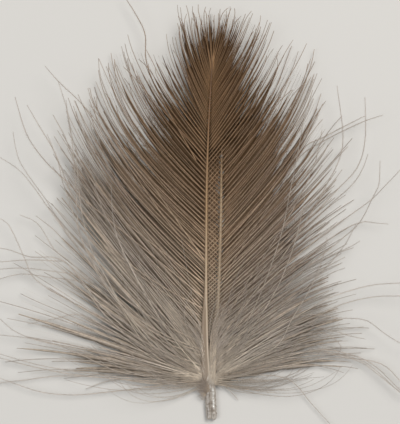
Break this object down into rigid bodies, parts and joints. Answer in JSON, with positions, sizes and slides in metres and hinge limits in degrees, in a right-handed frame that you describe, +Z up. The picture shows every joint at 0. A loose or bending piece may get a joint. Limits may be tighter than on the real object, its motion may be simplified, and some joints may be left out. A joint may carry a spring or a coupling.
{
  "type": "cul de canard feather",
  "caption": "Downy duck preen feather with an after-feather on one short quill: slim shafts, loosely fanned barbs and stray down, lying flat on a surface.",
  "frame": {"origin": "on the surface that the feather lies on, below the middle of its outline", "axes": "+Y along the shafts from the quill to the tip, +Z up out of the front face, +X to the right of the front face"},
  "size_m": [0.0536, 0.0531, 0.0042],
  "materials": {
    "down": "matte"
  },
  "bodies": {
    "root": {"feather": "down"}
  },
  "joints": []
}
